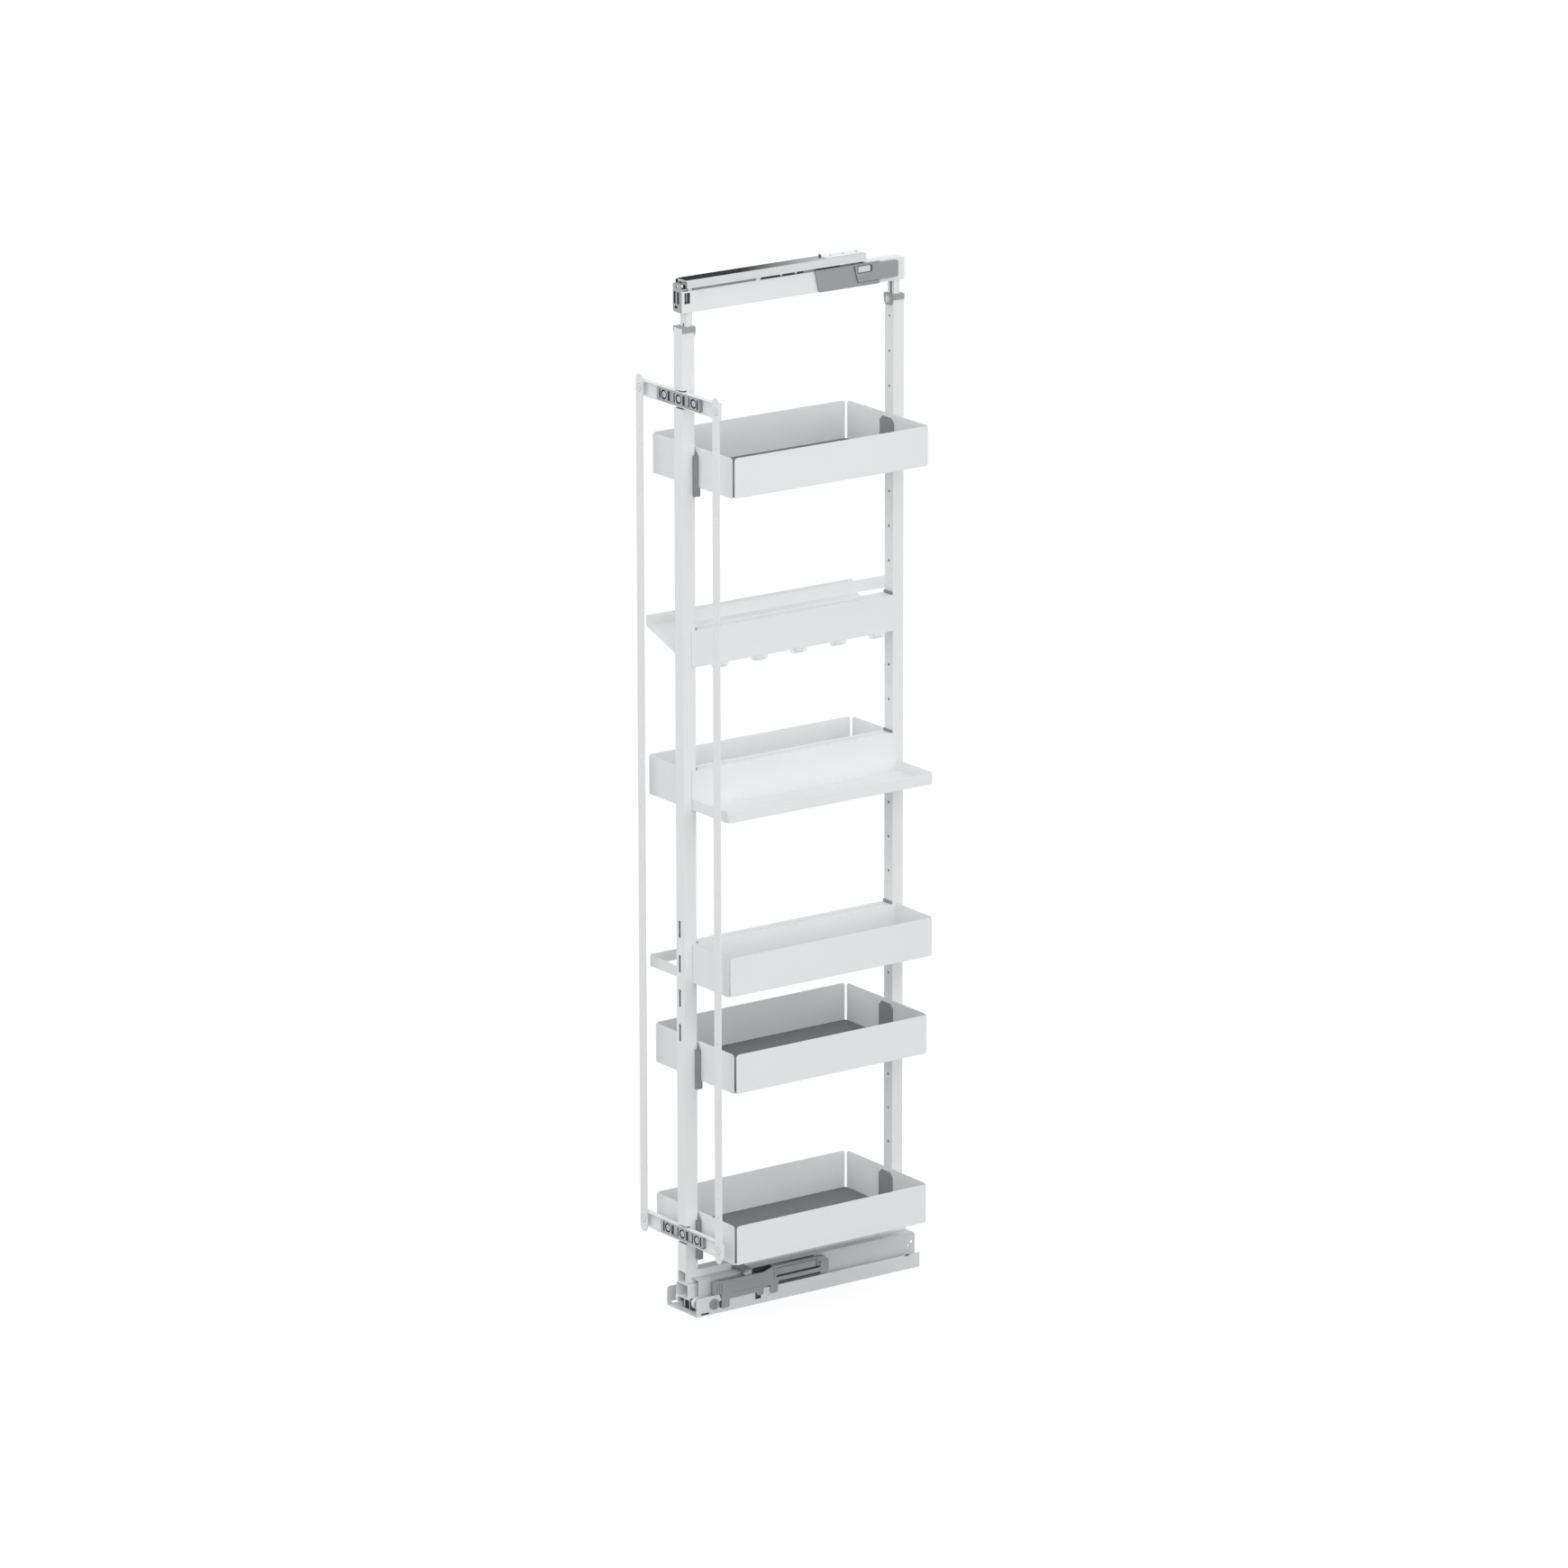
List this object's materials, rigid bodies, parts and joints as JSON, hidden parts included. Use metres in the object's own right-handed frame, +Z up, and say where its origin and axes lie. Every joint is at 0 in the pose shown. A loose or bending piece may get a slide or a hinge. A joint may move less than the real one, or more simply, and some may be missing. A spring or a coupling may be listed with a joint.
{
  "type": "pull out pantry frame",
  "caption": "Tall telescopic larder frame: floor runner, ceiling runner, two perforated uprights, hung trays and side units, and adjustable door strips.",
  "frame": {"origin": "centre of the floor rail's screw pattern, on the floor rail's underside", "axes": "+X to the right seen from the door, +Y into the cabinet, +Z up; the frame pulls out along -Y"},
  "size_m": [0.257, 0.4985, 1.895],
  "materials": {
    "white_powder_coat": "satin powder coat",
    "galvanised_steel": "satin",
    "chrome_steel": "bright",
    "die_cast_zinc": "dull dark grey",
    "grey_plastic": "fine matte grain",
    "damper_plastic": "satin",
    "anti_slip_mat": "matte",
    "white_nylon": "satin",
    "pale_window": "gloss"
  },
  "bodies": {
    "base": {"floor_rail": "white_powder_coat", "roller_bracket": "galvanised_steel", "floor_axles": "galvanised_steel", "soft_close_housing": "damper_plastic", "damper_cylinder": "grey_plastic"},
    "front_floor_rollers": {"floor_rollers_front": "white_nylon"},
    "rear_floor_rollers": {"floor_rollers_rear": "white_nylon"},
    "guide_screw": {"side_guide_screw": "grey_plastic"},
    "catch": {"catch_slider": "grey_plastic", "piston_rod": "chrome_steel"},
    "middle_rail": {"middle_rail": "white_powder_coat"},
    "frame": {"lower_beam": "white_powder_coat", "carriage": "white_powder_coat", "carriage_axles": "galvanised_steel", "activator_arm": "galvanised_steel", "front_upright": "white_powder_coat", "rear_upright": "white_powder_coat", "upright_collars": "grey_plastic", "clamp_screws": "galvanised_steel", "side_hanger_clips": "grey_plastic", "tray_hangers": "grey_plastic", "guard_rail": "white_powder_coat"},
    "front_carriage_rollers": {"carriage_rollers_front": "white_nylon"},
    "rear_carriage_rollers": {"carriage_rollers_rear": "white_nylon"},
    "top_unit": {"inner_tubes": "white_powder_coat", "top_beam": "white_powder_coat", "front_end_bracket": "die_cast_zinc", "rear_end_cap": "white_powder_coat", "top_runner": "chrome_steel", "top_damper_housing": "damper_plastic", "top_damper_cap": "damper_plastic", "damper_window": "pale_window"},
    "inner_cage": {"inner_ball_cages": "white_nylon", "inner_balls": "chrome_steel"},
    "top_middle": {"top_middle_rail": "chrome_steel"},
    "outer_cage": {"outer_ball_cages": "white_nylon", "outer_balls": "chrome_steel"},
    "ceiling": {"ceiling_rail": "chrome_steel"},
    "adjusters": {"door_adjusters": "die_cast_zinc", "adjuster_screws": "galvanised_steel"},
    "door_front": {"door_strips": "white_powder_coat", "door_arms": "white_powder_coat", "strip_rivets": "galvanised_steel"},
    "top_tray": {"top_tray": "white_powder_coat", "top_mat": "anti_slip_mat", "top_tray_studs": "grey_plastic"},
    "lower_tray": {"lower_tray": "white_powder_coat", "lower_mat": "anti_slip_mat", "lower_tray_studs": "grey_plastic"},
    "bottom_tray": {"bottom_tray": "white_powder_coat", "bottom_mat": "anti_slip_mat", "bottom_tray_studs": "grey_plastic"},
    "hook_panel": {"hook_panel": "white_powder_coat"},
    "tilted_shelf": {"tilted_shelf": "white_powder_coat"},
    "left_deep_tray": {"left_deep_tray": "white_powder_coat"},
    "right_shallow_tray": {"right_shallow_tray": "white_powder_coat"},
    "right_deep_tray": {"right_deep_tray": "white_powder_coat"},
    "left_ring": {"left_ring": "white_powder_coat"}
  },
  "joints": [
    {"name": "pull_out", "type": "slide", "parent": "base", "child": "frame", "axis": [0, -1, 0], "range_m": [0, 0.44]},
    {"name": "middle_rail_slide", "type": "slide", "parent": "base", "child": "middle_rail", "axis": [0, -1, 0], "range_m": [0, 0.22]},
    {"name": "front_floor_roller_spin", "type": "hinge", "parent": "base", "child": "front_floor_rollers", "pos_m": [0, -0.2319, 0.019], "axis": [1, 0, 0], "range_deg": [0, 1200]},
    {"name": "rear_floor_roller_spin", "type": "hinge", "parent": "base", "child": "rear_floor_rollers", "pos_m": [0, -0.1969, 0.019], "axis": [1, 0, 0], "range_deg": [0, 1200]},
    {"name": "front_carriage_roller_spin", "type": "hinge", "parent": "frame", "child": "front_carriage_rollers", "pos_m": [0, 0.183, 0.04675], "axis": [1, 0, 0], "range_deg": [0, 860]},
    {"name": "rear_carriage_roller_spin", "type": "hinge", "parent": "frame", "child": "rear_carriage_rollers", "pos_m": [0, 0.218, 0.04675], "axis": [1, 0, 0], "range_deg": [0, 860]},
    {"name": "guide_screw_turn", "type": "hinge", "parent": "base", "child": "guide_screw", "pos_m": [0.0463, -0.2105, 0.019], "axis": [1, 0, 0], "range_deg": [-90, 90]},
    {"name": "soft_close_catch", "type": "slide", "parent": "base", "child": "catch", "axis": [0, -1, 0], "range_m": [0, 0.045]},
    {"name": "height_adjust", "type": "slide", "parent": "frame", "child": "top_unit", "axis": [0, 0, 1], "range_m": [-0.012, 0.1]},
    {"name": "inner_cage_slide", "type": "slide", "parent": "top_unit", "child": "inner_cage", "axis": [0, 1, 0], "range_m": [0, 0.11]},
    {"name": "top_middle_slide", "type": "slide", "parent": "top_unit", "child": "top_middle", "axis": [0, 1, 0], "range_m": [0, 0.22]},
    {"name": "outer_cage_slide", "type": "slide", "parent": "top_unit", "child": "outer_cage", "axis": [0, 1, 0], "range_m": [0, 0.33]},
    {"name": "ceiling_rail_slide", "type": "slide", "parent": "top_unit", "child": "ceiling", "axis": [0, 1, 0], "range_m": [0, 0.44]},
    {"name": "front_height_adjust", "type": "slide", "parent": "frame", "child": "adjusters", "axis": [0, 0, 1], "range_m": [-0.0025, 0.0025]},
    {"name": "front_side_adjust", "type": "slide", "parent": "adjusters", "child": "door_front", "axis": [1, 0, 0], "range_m": [-0.004, 0.004]},
    {"name": "top_tray_lift", "type": "slide", "parent": "frame", "child": "top_tray", "axis": [0, 0, 1], "range_m": [0, 0.05]},
    {"name": "lower_tray_lift", "type": "slide", "parent": "frame", "child": "lower_tray", "axis": [0, 0, 1], "range_m": [0, 0.05]},
    {"name": "bottom_tray_lift", "type": "slide", "parent": "frame", "child": "bottom_tray", "axis": [0, 0, 1], "range_m": [0, 0.05]},
    {"name": "hook_panel_lift", "type": "slide", "parent": "frame", "child": "hook_panel", "axis": [0, 0, 1], "range_m": [0, 0.02]},
    {"name": "tilted_shelf_lift", "type": "slide", "parent": "frame", "child": "tilted_shelf", "axis": [0, 0, 1], "range_m": [0, 0.009]},
    {"name": "left_deep_tray_lift", "type": "slide", "parent": "frame", "child": "left_deep_tray", "axis": [0, 0, 1], "range_m": [0, 0.02]},
    {"name": "right_shallow_tray_lift", "type": "slide", "parent": "frame", "child": "right_shallow_tray", "axis": [0, 0, 1], "range_m": [0, 0.02]},
    {"name": "right_deep_tray_lift", "type": "slide", "parent": "frame", "child": "right_deep_tray", "axis": [0, 0, 1], "range_m": [0, 0.02]},
    {"name": "left_ring_lift", "type": "slide", "parent": "frame", "child": "left_ring", "axis": [0, 0, 1], "range_m": [0, 0.02]}
  ],
  "couplings": [
    {"joint": "middle_rail_slide", "follows": "pull_out", "ratio": 0.5},
    {"joint": "front_floor_roller_spin", "follows": "pull_out", "rad_per_m": 46.729},
    {"joint": "rear_floor_roller_spin", "follows": "pull_out", "rad_per_m": 46.729},
    {"joint": "front_carriage_roller_spin", "follows": "pull_out", "rad_per_m": 33.445},
    {"joint": "rear_carriage_roller_spin", "follows": "pull_out", "rad_per_m": 33.445},
    {"joint": "inner_cage_slide", "follows": "pull_out", "ratio": 0.25},
    {"joint": "top_middle_slide", "follows": "pull_out", "ratio": 0.5},
    {"joint": "outer_cage_slide", "follows": "pull_out", "ratio": 0.75},
    {"joint": "ceiling_rail_slide", "follows": "pull_out", "ratio": 1}
  ]
}
